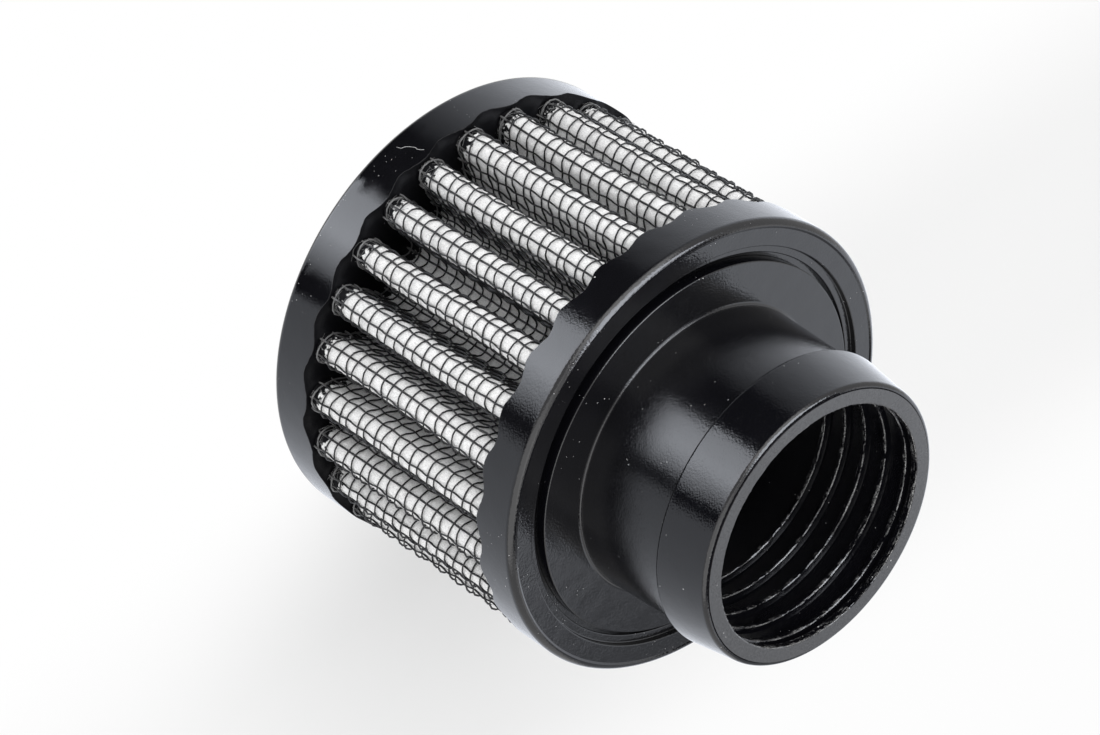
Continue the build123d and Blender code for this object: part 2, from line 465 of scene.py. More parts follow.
def sheet_faces(rows, columns, close_rows, close_columns):
    """Faces of a grid of points, closed on itself in either direction where asked."""
    row = np.arange(rows if close_rows else rows - 1)
    column = np.arange(columns if close_columns else columns - 1)
    here_row, here_column = np.meshgrid(row, column, indexing="ij")
    next_row = (here_row + 1) % rows
    next_column = (here_column + 1) % columns
    corners = [
        here_row * columns + here_column,
        here_row * columns + next_column,
        next_row * columns + next_column,
        next_row * columns + here_column,
    ]
    return np.stack(corners, axis=-1).reshape(-1, 4)


def unit(vectors):
    """Vectors brought to a length of 1."""
    return vectors / np.linalg.norm(vectors, axis=-1, keepdims=True)


def unit_turn(spots):
    """Complex numbers brought to a length of 1."""
    return spots / np.abs(spots)


def tubes(paths, outward, radius, closed):
    """Four-sided tubes along several paths of equal point counts. Returns points and faces."""
    wires, stations = paths.shape[:2]
    if closed:
        along = np.roll(paths, -1, axis=1) - np.roll(paths, 1, axis=1)
    else:
        along = np.gradient(paths, axis=1)
    along = unit(along)
    aside = unit(np.cross(along, outward))
    up = np.cross(aside, along)
    ring = [up * cos(turn) + aside * sin(turn) for turn in np.arange(4) * pi / 2]
    points = paths[:, :, None, :] + radius * np.stack(ring, axis=2)
    one = sheet_faces(stations, 4, closed, True)
    if not closed:
        ends = np.array([[3, 2, 1, 0], [0, 1, 2, 3]])
        ends[1] += (stations - 1) * 4
        one = np.concatenate([one, ends])
    offsets = np.arange(wires)[:, None, None] * (stations * 4)
    return points.reshape(-1, 3), (one[None] + offsets).reshape(-1, 4)


def waves(rng, turns, heights, share, level):
    """A smooth random field between -1 and 1, closed round the pack."""
    total = 0
    for turn, height in zip(turns, heights):
        phase = rng.uniform(0, 2 * pi, 2)
        total = total + np.sin(2 * pi * turn * share + phase[0]) * np.cos(2 * pi * level / height + phase[1])
    return total / len(turns)


# The pleated pack


def crowded(spots):
    """Points in plan, as complex numbers, turned a little about the axis, so that the pleats crowd."""
    angle = np.angle(spots)
    turn = sum(radians(size) * np.cos(times * (angle - radians(peak))) for times, size, peak in CROWDING)
    return spots * np.exp(1j * turn)


class PleatLine:
    """The closed line of the pleats in plan, at a given depth under the crests' outer face."""

    def __init__(self, pack, inset):
        half = pi / pack.pleat_count
        crest_radius = REAR_HIGH.x - pack.rim_wall
        crest_centre = crest_radius - pack.crest_fold
        valley_centre = crest_radius - pack.pleat_depth + pack.valley_fold
        span_x = valley_centre * cos(half) - crest_centre
        span_y = valley_centre * sin(half)
        flank = atan2(span_y, span_x) - acos((pack.crest_fold + pack.valley_fold) / hypot(span_x, span_y))
        crest_turns = np.linspace(0, flank, 40)
        valley_turns = np.linspace(pi + flank, pi + 2 * half - flank, 60)
        next_turns = 2 * half - crest_turns[::-1]
        crest = crest_centre + (pack.crest_fold - inset) * np.exp(1j * crest_turns)
        valley = valley_centre * np.exp(1j * half) + (pack.valley_fold + inset) * np.exp(1j * valley_turns)
        next_crest = crest_centre * np.exp(2j * half) + (pack.crest_fold - inset) * np.exp(1j * next_turns)
        steps = np.linspace(0, 1, 60)[1:-1]
        down = crest[-1] + (valley[0] - crest[-1]) * steps
        up = valley[-1] + (next_crest[0] - valley[-1]) * steps
        one = np.concatenate([crest, down, valley, up, next_crest[:-1]])
        slopes = (flank + 0 * steps, 2 * half - flank + 0 * steps)
        out_turns = [crest_turns, slopes[0], valley_turns - pi, slopes[1], next_turns[:-1]]
        out = np.exp(1j * np.concatenate(out_turns))
        turns = np.exp(2j * half * np.arange(pack.pleat_count))
        even = np.append((one[None] * turns[:, None]).ravel(), one[0])
        self.points = crowded(even)
        even_out = np.append((out[None] * turns[:, None]).ravel(), out[0])
        self.outward = even_out * unit_turn(self.points / even)
        self.travel = np.concatenate([[0], np.cumsum(np.abs(np.diff(self.points)))])
        self.length = self.travel[-1]

    def at(self, share):
        """The points and outward directions at shares of a whole turn, as complex numbers."""
        travel = (share % 1.0) * self.length
        spot = np.interp(travel, self.travel, self.points)
        return spot, unit_turn(np.interp(travel, self.travel, self.outward))


class Pack:
    """Lays the fleece and the wires on the same slightly uneven pleats."""

    def __init__(self, scene):
        self.sizes = scene.breather_pack
        self.weave = scene.breather_weave
        self.line = PleatLine(self.sizes, self.sizes.mesh_room)
        self.inner_line = PleatLine(self.sizes, self.sizes.mesh_room + self.sizes.fleece)
        rng = np.random.default_rng(27)
        self.leans = rng.uniform(-1, 1, (2, self.sizes.pleat_count)) * self.sizes.lean
        self.sags = rng.uniform(0, 1, self.sizes.pleat_count) * self.sizes.sag
        self.axial_count = 2 * round(self.line.length / self.weave.axial_pitch / 2)
        self.first_hoop = REAR_HIGH.z - 1.4 * MM
        self.hoop_strays = rng.uniform(-1, 1, self.weave.hoop_count) * self.weave.stray
        self.axial_strays = rng.uniform(-1, 1, self.axial_count) * self.weave.stray * 1.5

    def nearest(self, turns):
        """The numbers of the pleats nearest to counts of pleats round the pack."""
        return np.round(turns).astype(int) % self.sizes.pleat_count

    def lay(self, line, share, height, out, even=False):
        """Points at shares of a turn and heights, moved outwards, with their outward directions."""
        rng = np.random.default_rng(5)
        share, height = np.broadcast_arrays(share, height)
        wander = 0 if even else self.weave.wander
        along = waves(rng, (11, 23, 41), (0.071, 0.043, 0.027), share, height) * wander
        across = waves(rng, (9, 19, 37), (0.083, 0.051, 0.031), share, height) * wander
        spot, outward = line.at(share + along / self.line.length)
        spot = spot + out * outward
        turns = share * self.sizes.pleat_count
        pleat = self.nearest(turns)
        weight = 0.5 + 0.5 * np.cos(2 * pi * turns)
        rise = np.clip((height - REAR_HIGH.z) / (FRONT_LOW.z - REAR_HIGH.z), 0, 1)
        lean = self.leans[0][pleat] * np.sin(pi * rise) + self.leans[1][pleat] * np.sin(2 * pi * rise) * 0.6
        sag = self.sags[pleat] * np.sin(pi * rise)
        heading = unit_turn(crowded(np.exp(2j * pi * pleat / self.sizes.pleat_count)))
        spot = spot + weight * heading * (1j * lean - sag)
        points = np.stack([spot.real, spot.imag, height + across], axis=-1)
        return points, np.stack([outward.real, outward.imag, np.zeros(outward.shape)], axis=-1)

    def hoop_heights(self):
        """Where the wires round the pack lie along the axis."""
        numbers = np.arange(self.weave.hoop_count)
        swing = (-1.0) ** numbers * self.weave.hoop_swing
        return self.first_hoop + numbers * self.weave.hoop_pitch + swing + self.hoop_strays

    def axial_shares(self):
        """Where the lengthways wires lie, as shares of a whole turn."""
        places = np.arange(self.axial_count) / self.axial_count
        return (places + self.axial_strays / self.line.length)[:, None]

    def crossing_level(self, axial, hoop):
        """1 where the hoop wire passes over, and -1 where it passes under, in the cloth's own counts."""
        return np.cos(pi * axial) * np.cos(pi * hoop)


class BREATHER_OT_fleece(bpy.types.Operator):
    """Builds the white pleated fleece."""

    bl_idname = "breather.fleece"
    bl_label = "Pleated Fleece"

    def execute(self, context):
        pack = Pack(context.scene)
        finish = fleece_finish("fleece_white", context.scene.breather_finish)
        columns = pack.axial_count * 3
        axial = np.arange(columns) / 3
        low, high = PACK_LOW.z + 0.3 * MM, PACK_HIGH.z - 0.3 * MM
        rows = int((high - low) / (pack.weave.hoop_pitch / 4))
        heights = np.linspace(low, high, rows)[:, None]
        hoop = (heights - pack.first_hoop) / pack.weave.hoop_pitch
        pillow = np.abs(np.sin(pi * axial) * np.sin(pi * hoop)) ** 0.6
        share = axial / pack.axial_count
        outer = pack.lay(pack.line, share, heights, pillow * pack.sizes.pillow)[0]
        inner_heights = np.linspace(low, high, 12)[:, None]
        inner = pack.lay(pack.inner_line, share, inner_heights, 0, even=True)[0]
        points = np.concatenate([outer, inner[::-1]])
        faces = sheet_faces(len(points), columns, True, True)
        piece("fleece", points, faces, finish, "fleece", "filter_media")
        return {"FINISHED"}


class BREATHER_OT_outer_wires(bpy.types.Operator):
    """Weaves the outer wire cloth: wires round the pack and wires along it."""

    bl_idname = "breather.outer_wires"
    bl_label = "Outer Wire Cloth"

    def execute(self, context):
        pack = Pack(context.scene)
        weave = pack.weave
        looks = context.scene.breather_finish
        finish = wire_finish("coated_wire_black", looks.coating, looks.bare_wire_and_glint)
        radius = weave.wire / 2
        heights = pack.hoop_heights()
        hoop = np.arange(weave.hoop_count)[:, None]
        axial = np.arange(pack.axial_count * weave.samples) / weave.samples
        share = axial / pack.axial_count
        turns = share * pack.sizes.pleat_count
        over_crest = np.clip(np.cos(2 * pi * turns), 0, 1) ** 4
        slack = np.random.default_rng(9).uniform(0.2, 1.0, (weave.hoop_count, pack.sizes.pleat_count))
        out = radius * (1.3 + pack.crossing_level(axial, hoop))
        out = out + over_crest * weave.loop_lift * slack[:, pack.nearest(turns)]
        hoops = tubes(*pack.lay(pack.line, share, heights[:, None], out), radius, True)
        piece("outer_hoop_wires", *hoops, finish, "coated_wire", "outer_wire_mesh")

        axial = np.arange(pack.axial_count)[:, None]
        hoop = np.arange(weave.hoop_count * weave.samples - weave.samples + 1) / weave.samples
        heights = np.interp(hoop, np.arange(weave.hoop_count), heights)
        out = radius * (1.3 - pack.crossing_level(axial, hoop))
        lengths = tubes(*pack.lay(pack.line, pack.axial_shares(), heights, out), radius, False)
        piece("outer_axial_wires", *lengths, finish, "coated_wire", "outer_wire_mesh")
        return {"FINISHED"}


class BREATHER_OT_frays(bpy.types.Operator):
    """Adds the frayed strands where the crests enter the rear cap."""

    bl_idname = "breather.frays"
    bl_label = "Frayed Strands"

    def execute(self, context):
        pack = Pack(context.scene)
        looks = context.scene.breather_finish
        finish = strand_finish("strand_grey", 0.3 * MM, looks.coating, looks.strand, 0.5)
        rng = np.random.default_rng(41)
        pleat = np.repeat(np.arange(pack.sizes.pleat_count), pack.sizes.frays)[:, None]
        steps = np.linspace(0, 1, 5)
        share = (pleat + rng.uniform(-0.17, 0.17, pleat.shape)) / pack.sizes.pleat_count
        start = REAR_HIGH.z + rng.uniform(-0.4, 1.2, pleat.shape) * MM
        rise = rng.uniform(-0.9, 2.4, pleat.shape) * MM
        lift = rng.uniform(0.0, 0.9, pleat.shape) ** 2 * MM
        drift = rng.normal(0, 0.015, pleat.shape)
        bow = np.sin(steps * pi) * rng.uniform(-0.010, 0.010, pleat.shape)
        out = pack.weave.wire * 0.4 + lift * np.abs(steps - rng.uniform(0.2, 0.9, pleat.shape))
        along = pack.lay(pack.line, share + (drift * steps + bow) / 5, start + rise * steps, out, even=True)
        strands = tubes(*along, pack.sizes.fray_radius, False)
        piece("frayed_strands", *strands, finish, "coated_wire")
        return {"FINISHED"}


class BREATHER_OT_hair(bpy.types.Operator):
    """Lays one fine hair on the rear cap's skirt."""

    bl_idname = "breather.hair"
    bl_label = "Hair"

    def execute(self, context):
        looks = context.scene.breather_finish
        finish = strand_finish("hair_grey", 0.5 * MM, looks.strand, looks.dust, 0.6)
        radius = 0.045 * MM
        first_turn, turn_run, turn_bend = 241.3, -3.4, 0.7
        first_height, height_run, height_bend = 2.3 * MM, 3.9 * MM, 0.25 * MM
        reach = np.linspace(0, 1, 25)[None, :]
        turn = np.radians(first_turn + turn_run * reach + turn_bend * np.sin(reach * 9) * reach)
        height = first_height + height_run * reach + height_bend * np.sin(reach * 13)
        outward = np.stack([np.cos(turn), np.sin(turn), 0 * turn], axis=-1)
        path = outward * (REAR_HIGH.x + 0.03 * MM) + height[..., None] * np.array([0, 0, 1])
        piece("hair", *tubes(path, outward, radius, False), finish, "coated_wire")
        return {"FINISHED"}


class BREATHER_OT_inner_wires(bpy.types.Operator):
    """Lays the wire cloth on the clean side of the fleece."""

    bl_idname = "breather.inner_wires"
    bl_label = "Inner Wire Cloth"

    def execute(self, context):
        pack = Pack(context.scene)
        looks = context.scene.breather_finish
        finish = wire_finish("coated_wire_inner", looks.coating, looks.coating)
        radius = pack.weave.wire / 3
        heights = pack.hoop_heights()
        stations = pack.sizes.pleat_count * INNER_MESH_POINTS
        share = np.arange(stations) / stations
        hoops = pack.lay(pack.inner_line, share, heights[:, None], -radius, even=True)
        rows = np.linspace(heights[0], heights[-1], 10)
        lengths = pack.lay(pack.inner_line, pack.axial_shares(), rows, -radius, even=True)
        points, faces = tubes(*hoops, radius, True)
        more_points, more_faces = tubes(*lengths, radius, False)
        faces = np.concatenate([faces, more_faces + len(points)])
        points = np.concatenate([points, more_points])
        piece("inner_wires", points, faces, finish, "coated_wire", "inner_wire_mesh")
        return {"FINISHED"}


# Mouldings


def arc(centre_r, centre_z, radius, start, end, steps):
    """Points of a round, as radius and height, from one angle to another in degrees."""
    angles = [radians(start + (end - start) * step / steps) for step in range(steps + 1)]
    return [(centre_r + radius * cos(angle), centre_z + radius * sin(angle)) for angle in angles]


def braced(section, hold=0.05 * MM):
    """Adds a point close to each end of a section's long straight runs, so that they shade flat."""
    points = [np.array(section[0], float)]
    for end in section[1:]:
        start, end = points[-1], np.array(end, float)
        span = np.hypot(*(end - start)[:2])
        if span > 4 * hold:
            points += [start + (end - start) * part for part in (hold / span, 1 - hold / span)]
        points.append(end)
    return points


class Turned:
    """A body turned about the axis, of rings whose radius and height may differ with the angle."""

    def __init__(self, steps):
        self.angles = (np.arange(steps) * 2 * pi / steps)[:, None]
        self.radii, self.heights = [], []

    def add(self, radii, heights):
        """Adds a ring, or several side by side."""
        radii, heights, _ = np.broadcast_arrays(radii, heights, self.angles)
        self.radii.append(radii)
        self.heights.append(heights)

    def line(self, section):
        """Adds the even rings of a section, given as radii and heights."""
        for radius, height in section:
            self.add(radius, height)

    def surface(self):
        """The body's points and faces."""
        radii, heights = np.concatenate(self.radii, axis=1), np.concatenate(self.heights, axis=1)
        points = np.stack([radii * np.cos(self.angles), radii * np.sin(self.angles), heights], axis=-1)
        return points, sheet_faces(*radii.shape, True, False)


class RimFill:
    """The wavy rim of a cap, and the fill that creeps up between the pleats."""

    def __init__(self, scene, peak, into_pack, seed):
        self.pack = scene.breather_pack
        self.caps = scene.breather_caps
        self.peak = peak
        self.into_pack = into_pack
        rng = np.random.default_rng(seed)
        self.uneven = rng.uniform(-1, 1, (2, self.pack.pleat_count * 2))[0]
        self.ripple = [(turn, rng.uniform(0, 2 * pi)) for turn in (61, 89, 131, 173)]
        line = PleatLine(self.pack, 0.1 * MM)
        self.tree = KDTree(len(line.points))
        for place, spot in enumerate(line.points):
            self.tree.insert((spot.real, spot.imag, 0), place)
        self.tree.balance()

    def rim(self, angles):
        """Height of the rim: it comes over each crest and dips at each valley."""
        spots = np.exp(1j * angles)
        even = angles - np.angle(crowded(spots) / spots)
        pleats = (even / (2 * pi) * self.pack.pleat_count) % self.pack.pleat_count
        wave = 0.5 - 0.5 * np.cos(2 * pi * pleats)
        knots = np.arange(self.pack.pleat_count * 2 + 1) / 2
        uneven = np.interp(pleats, knots, np.append(self.uneven, self.uneven[0])) * 0.16 * MM
        ripple = sum(np.sin(turn * angles + phase) for turn, phase in self.ripple) * 0.02 * MM
        dip = wave * self.caps.scallop + np.abs(uneven) + ripple + 0.03 * MM
        return self.peak - self.into_pack * dip

    def fill(self, angles, radii):
        """Height of the fill between the pleats, with its creep up their flanks."""
        blend_width, creep_width = 1.4 * MM, 0.4 * MM
        level = self.peak - self.into_pack * self.caps.fill_drop
        lip = self.rim(angles)
        start = REAR_HIGH.x - self.caps.lip_round
        blend = np.clip((start - radii) / blend_width, 0, 1)
        blend = blend * blend * (3 - 2 * blend)
        base = lip + (level - lip) * blend
        creep = np.zeros(base.shape)
        for spot in np.ndindex(base.shape):
            x = float(radii[spot] * cos(angles[spot[0], 0]))
            y = float(radii[spot] * sin(angles[spot[0], 0]))
            distance = self.tree.find((x, y, 0))[2]
            creep[spot] = np.exp(-distance / creep_width)
        return base + self.into_pack * creep * self.caps.creep * blend

    def lay(self, body, start, end):
        """Adds the fill to a body, from one radius to another."""
        radii = np.linspace(start, end, 26) + 0 * body.angles
        body.add(radii, self.fill(body.angles, radii))


class BREATHER_OT_rear_cap(bpy.types.Operator):
    """Moulds the closed rear cap."""

    bl_idname = "breather.rear_cap"
    bl_label = "Rear Cap"

    def execute(self, context):
        caps = context.scene.breather_caps
        looks = context.scene.breather_finish
        finish = moulding_finish("cap_black_rear", looks, looks.moulding, looks.cap_gloss, looks.rear_dust)
        body = Turned(context.scene.breather_pack.pleat_count * CAP_POINTS)
        rim_fill = RimFill(context.scene, REAR_HIGH.z, 1, 3)
        rim = rim_fill.rim(body.angles)
        radius, edge, lip, inner = REAR_HIGH.x, caps.edge_round, caps.lip_round, caps.fill_reach
        bottom = [(0, 0), (radius * 0.5, 0), (radius - edge - 0.4 * MM, 0)]
        body.line(braced(bottom + arc(radius - edge, edge, edge, -90, 0, 6)))
        for part in (0.01, 0.3, 0.6, 0.9, 0.99):
            body.add(radius, edge + (rim - lip - edge) * part)
        for r, z in arc(radius - lip, 0, lip, 0, 90, 5):
            body.add(r, rim - lip + z)
        rim_fill.lay(body, radius - lip - 0.25 * MM, inner)
        body.line([(inner - 0.1 * MM, caps.floor), (inner * 0.5, caps.floor), (0, caps.floor)])
        # The fill between the pleats gets the painted-shade finish
        fill = (fill_painted_shade_finish("fill_painted_shade_rear", looks), caps.floor - caps.edge_round, REAR_HIGH.z)
        extra = {"sharp": 50, "weld": True, "within": fill}
        piece("rear_cap", *body.surface(), finish, "cap_moulding", "rear_end_cap", **extra)
        return {"FINISHED"}


class BREATHER_OT_front_cap(bpy.types.Operator):
    """Moulds the open front cap with its stepped recess."""

    bl_idname = "breather.front_cap"
    bl_label = "Front Cap"

    def execute(self, context):
        caps = context.scene.breather_caps
        looks = context.scene.breather_finish
        finish = moulding_finish("cap_black_front", looks, looks.moulding, looks.cap_gloss, looks.front_dust)
        body = Turned(context.scene.breather_pack.pleat_count * CAP_POINTS)
        rim_fill = RimFill(context.scene, FRONT_LOW.z, -1, 8)
        rim = rim_fill.rim(body.angles)
        radius, edge, lip, inner = FRONT_HIGH.x, caps.edge_round, caps.lip_round, caps.fill_reach
        face = FRONT_HIGH.z
        body.line([(caps.hole_radius, PACK_HIGH.z), (inner - 0.4 * MM, PACK_HIGH.z)])
        rim_fill.lay(body, inner, radius - lip - 0.25 * MM)
        for r, z in arc(radius - lip, 0, lip, -90, 0, 5):
            body.add(r, rim + lip + z)
        for part in (0.01, 0.2, 0.45, 0.8, 0.99):
            body.add(radius, rim + lip + (face - edge - rim - lip) * part)
        body.line(braced(front_section(caps, radius, face)))
        # The fill between the pleats gets the painted-shade finish
        fill = (fill_painted_shade_finish("fill_painted_shade_front", looks), FRONT_LOW.z, PACK_HIGH.z + 0.1 * MM)
        extra = {"sharp": 50, "weld": True, "within": fill}
        piece("front_cap", *body.surface(), finish, "cap_moulding", "front_end_cap", **extra)
        return {"FINISHED"}


def front_section(caps, radius, face):
    """The front cap's section from the skirt's top over the lip, the ring and the recess to the hole."""
    ring = radius - caps.face_width
    groove = ring - caps.ledge_width
    seat = NECK_HIGH.x + caps.disc_gap
    lip_edge = radius - caps.outer_lip
    ring_z = face - caps.ring_sink
    ledge_z = face - caps.ledge_depth
    groove_z = ledge_z - caps.groove_depth
    ease = 0.16 * MM
    crown, steps = radians(72), 8
    section = []
    for step in range(steps + 1):
        angle = crown * step / steps
        r = radius - caps.outer_lip * (1 - cos(angle)) / (1 - cos(crown))
        section.append((r, face - caps.edge_round * (1 - sin(angle) / sin(crown))))
    section += [(lip_edge - 0.05 * MM, face - 0.02 * MM), (lip_edge - 0.3 * MM, ring_z)]
    section += arc(ring + ease, ring_z - ease, ease, 90, 180, 4)
    section += [(ring, ledge_z + ease)]
    section += arc(ring - ease, ledge_z + ease, ease, 0, -90, 3)
    section += arc(groove + ease, ledge_z - ease, ease, 90, 180, 4)
    section += [(groove, groove_z), (seat, groove_z), (seat, NECK_LOW.z)]
    return section + [(caps.hole_radius, NECK_LOW.z), (caps.hole_radius, PACK_HIGH.z)]


def neck_section(neck):
    """The neck's section as radius, height and raggedness, from the disc round by the mouth to the bore."""
    crest = neck.rib_crest
    bore = crest + neck.rib_height
    top = bore + neck.wall
    root = top + neck.root_flare
    collar = top + neck.collar_step
    tip = collar - neck.collar_taper
    disc, seat, face, mouth = NECK_HIGH.x, NECK_LOW.z, FRONT_HIGH.z, NECK_HIGH.z
    parting = mouth - neck.collar_length
    bead, ease, edge, step = neck.root_bead, 0.18 * MM, neck.mouth_round, 0.10 * MM
    smooth = [(bore, seat), (disc - ease, seat), (disc, seat + ease)]
    smooth += arc(disc - ease, face - ease, ease, 0, 90, 4)
    smooth += [(root + 2 * bead, face)] + arc(root, face, bead, 0, 90, 5)[1:]
    smooth += [(root - 0.02 * MM, face + bead + 0.1 * MM), (top, parting)]
    smooth += arc(collar - neck.collar_round, parting + neck.collar_round, neck.collar_round, -90, 0, 7)
    smooth += arc(tip - edge, mouth - step - edge, edge, 0, 82, 7)
    smooth += [(tip - edge, mouth - 2 * step), (tip - edge - 0.06 * MM, mouth)]
    section = [(r, z, 0) for r, z in smooth]
    section += [(crest + 0.4 * MM, mouth, 0), (crest + 0.16 * MM, mouth, 0.8)]
    section += [(crest + 0.02 * MM, mouth - 0.09 * MM, 1.3), (crest, mouth - 0.45 * MM, 0.7)]
    section += [(crest, mouth - 1.0 * MM, 0.3), (bore, mouth - 1.3 * MM, 0)]
    half, slope = neck.rib_width / 2, 0.3 * MM
    for place in range(neck.rib_count):
        rib = mouth - neck.first_rib - place * neck.rib_pitch
        section += [(bore, rib + half + slope, 0), (crest + 0.16 * MM, rib + half + 0.05 * MM, 0.2)]
        section += [(crest + 0.05 * MM, rib + half, 1.2), (crest, rib + half - 0.09 * MM, 1)]
        section += [(crest, rib - half, 0.2), (bore, rib - half - slope, 0)]
    return braced(section + [(bore, seat, 0)])


class BREATHER_OT_neck(bpy.types.Operator):
    """Moulds the neck with its disc, collar and ribbed bore."""

    bl_idname = "breather.neck"
    bl_label = "Neck"

    def execute(self, context):
        neck = context.scene.breather_neck
        looks = context.scene.breather_finish
        finish = moulding_finish("neck_black", looks, looks.neck, looks.neck_gloss, looks.neck_dust, neck)
        radii, heights, strengths = np.array(neck_section(neck)).T
        steps = 540
        body = Turned(steps)
        rng = np.random.default_rng(12)
        ragged = np.zeros((steps, len(radii)))
        for place in np.flatnonzero(strengths):
            jag = rng.uniform(-1, 1, steps)
            drift = np.tile(rng.uniform(-1, 1, steps), 3)
            drift = np.convolve(drift, np.hanning(15) / 4, "same")[steps:2 * steps]
            ragged[:, place] = ((jag + np.roll(jag, 1)) / 3 + drift) * strengths[place] * neck.flash
        body.add(radii + ragged, heights)
        piece("neck", *body.surface(), finish, "neck_moulding", "neck_flange", sharp=50, weld=True)
        return {"FINISHED"}


# The stage

# The lamps, as degrees from the camera's side, elevation, width and power
SOFTBOXES = {
    "key_softbox": (-38, 36, 0.9, 5.4),
    "fill_softbox": (62, 40, 1.1, 4.4),
    "top_softbox": (180, 75, 1.2, 2.6),
}
# How far the lamps, the upright card and the overhead cards stand away, in metres
LAMP_DISTANCE, BACK_DISTANCE, HIGH_DISTANCE = 0.9, 0.30, 0.4
# Where the floor's glow to the camera sinks into a painted shadow beyond the filter, away from the key lamp,
# where it comes back, and how much of it
FLOOR_SINKS = (8 * MM, 50 * MM)
FLOOR_RETURNS = (85 * MM, 130 * MM)
RETURNED = 0.85
# Glowing cards on the floor that only gloss shows, which paint the skirts' reflections: first and last
# degree from the camera's side on the skirts, and the glow at both
FLOOR_CARDS = (
    (-90, -60, 1.65, 1.65), (-60, -45, 1.65, 1.05), (-45, -28, 1.05, 0.15), (-28, -9, 0.03, 0.03),
    (-9, 3, 4.2, 5.6), (3, 14, 5.6, 0.8), (14, 20, 0.02, 0.02), (20, 90, 0.95, 1.2), (90, 270, 1.2, 1.2),
)
# The overhead cards that only gloss shows, a glowing one that paints a highlight and a nearly black one that
# paints a dark line, as degrees from the camera's side with the glow there, and the elevations they span
HIGH_CARDS = {
    "reflection_glow_high": (((-108, 1.0), (-95, 8.0), (-60, 9.0), (-25, 8.0), (-12, 1.0)), (51, 58, 66, 76, 86)),
    "reflection_dark_high": (((110, 0.05), (145, 0.05), (180, 0.05), (215, 0.05), (250, 0.05)), (54, 64, 74, 84)),
}
# The upright glowing card that only gloss shows, which paints the flat faces' reflections: its places to the
# camera's right in millimetres, with its glow low down and high up
BACK_CARD = (
    (-200, 1.5, 1.5), (-30, 1.5, 1.5), (-10, 1.2, 1.5), (15, 0.65, 1.55), (30, 0.42, 1.55), (200, 0.4, 1.55),
)
# Its heights in millimetres, with the share of the upper glow there
BACK_RISE = ((0, 0), (268, 0), (282, 0.3), (290, 0.6), (298, 1), (600, 1))


def floor_material(name, base, away, painted_shadow_glow):
    """A plain matt floor. To the camera it also glows white, and less so where a shadow is painted into that
    glow beyond the filter, away from the key lamp.
    """
    bench = FinishBench(name)
    across = bench.vector("DOT_PRODUCT", bench.place(), tuple(away), output="Value")
    # Painted shadow: the glow to the camera sinks by place on the floor, not by the light that falls there
    shade = across.rise(*FLOOR_SINKS) * (1 - across.rise(*FLOOR_RETURNS) * RETURNED)
    share = bench.shown() * (1 + (painted_shadow_glow - 1) * shade)
    matt = bench.node("ShaderNodeBsdfDiffuse", None, (*base, 1))
    glow = bench.node("ShaderNodeEmission", None, (1, 1, 1, 1), 1.0)
    both = bench.node("ShaderNodeMixShader", None, share, matt, glow)
    bench.node("ShaderNodeOutputMaterial", None, both)
    return bench.made


def reflection_glow_material(name):
    """Glows as strongly as each corner of its card says, though the card is no lamp: it paints reflections.
    """
    bench = FinishBench(name)
    strength = bench.node("ShaderNodeAttribute", {"attribute_name": "glow"}, output="Fac")
    glow = bench.node("ShaderNodeEmission", None, (0.96, 1, 1.08, 1), strength)
    bench.node("ShaderNodeOutputMaterial", None, glow)
    return bench.made


def stage_piece(name, corners, faces, material):
    """A part of the stage from flat faces."""
    mesh = bpy.data.meshes.new(name)
    mesh.from_pydata(corners, [], faces)
    mesh.materials.append(material)
    made = bpy.data.objects.new(name, mesh)
    bpy.context.scene.collection.objects.link(made)
    return made


def painted_reflection_card(name, spokes, glow):
    """A glowing card that only gloss shows, which paints a reflection, from spokes of equal point counts,
    each with one glow or several.
    """
    spokes = np.array(spokes)
    rows, columns = spokes.shape[:2]
    faces = sheet_faces(rows, columns, False, False).tolist()
    card = stage_piece(name, spokes.reshape(-1, 3).tolist(), faces, reflection_glow_material(name))
    strength = card.data.attributes.new("glow", "FLOAT", "POINT")
    glow = np.asarray(glow, float).reshape(rows, -1)
    strength.data.foreach_set("value", np.repeat(glow, columns // glow.shape[1], axis=1).ravel())
    card.visible_camera = False
    card.visible_diffuse = False
    card.visible_shadow = False
    card.visible_transmission = False


def around(azimuth, elevation, distance, centre=(0, 0, 0)):
    """A point at an azimuth and elevation in degrees, seen from a centre."""
    a, e = radians(azimuth), radians(elevation)
    return Vector(centre) + distance * Vector((cos(a) * cos(e), sin(a) * cos(e), sin(e)))


def softbox(name, azimuth, elevation, width, power):
    """A square soft lamp that looks at the middle of the filter."""
    middle = (0, 0, NECK_HIGH.z / 2)
    data = bpy.data.lights.new(name, "AREA")
    data.size = width
    data.energy = power
    lamp = bpy.data.objects.new(name, data)
    lamp.location = around(azimuth, elevation, LAMP_DISTANCE, middle)
    lamp.rotation_mode = "QUATERNION"
    lamp.rotation_quaternion = (Vector(middle) - lamp.location).to_track_quat("-Z", "Y")
    bpy.context.scene.collection.objects.link(lamp)


